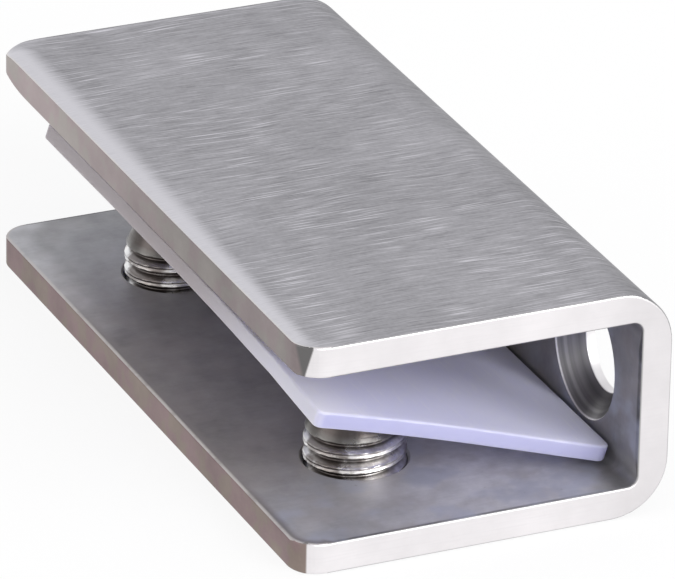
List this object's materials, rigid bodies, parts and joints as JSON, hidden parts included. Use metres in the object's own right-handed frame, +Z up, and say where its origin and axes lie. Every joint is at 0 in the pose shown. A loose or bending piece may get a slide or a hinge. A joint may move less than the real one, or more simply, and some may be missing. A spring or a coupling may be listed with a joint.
{
  "type": "glass panel clamp",
  "caption": "Brushed steel U-channel that grips the edge of a glass panel: set screws in the lower leg press a loose soft pad upwards, and countersunk holes in the web take wall screws.",
  "frame": {"origin": "under the middle of the clamp, on the outside of the lower leg", "axes": "+X from the open front to the wall, +Y along the channel to the far end of the picture, +Z up"},
  "size_m": [0.03, 0.06, 0.0185],
  "materials": {
    "channel_steel": "brushed across the length",
    "screw_steel": "bright",
    "pad_plastic": "milky, satin"
  },
  "bodies": {
    "channel": {"channel": "channel_steel", "pad": "pad_plastic"},
    "set_screw_near": {"set_screw_near": "screw_steel"},
    "set_screw_far": {"set_screw_far": "screw_steel"}
  },
  "joints": [
    {"name": "screw_near_slide", "type": "slide", "parent": "channel", "child": "set_screw_near", "axis": [0, 0, 1], "range_m": [-0.0048, 0]},
    {"name": "screw_far_slide", "type": "slide", "parent": "channel", "child": "set_screw_far", "axis": [0, 0, 1], "range_m": [-0.0048, 0]}
  ]
}
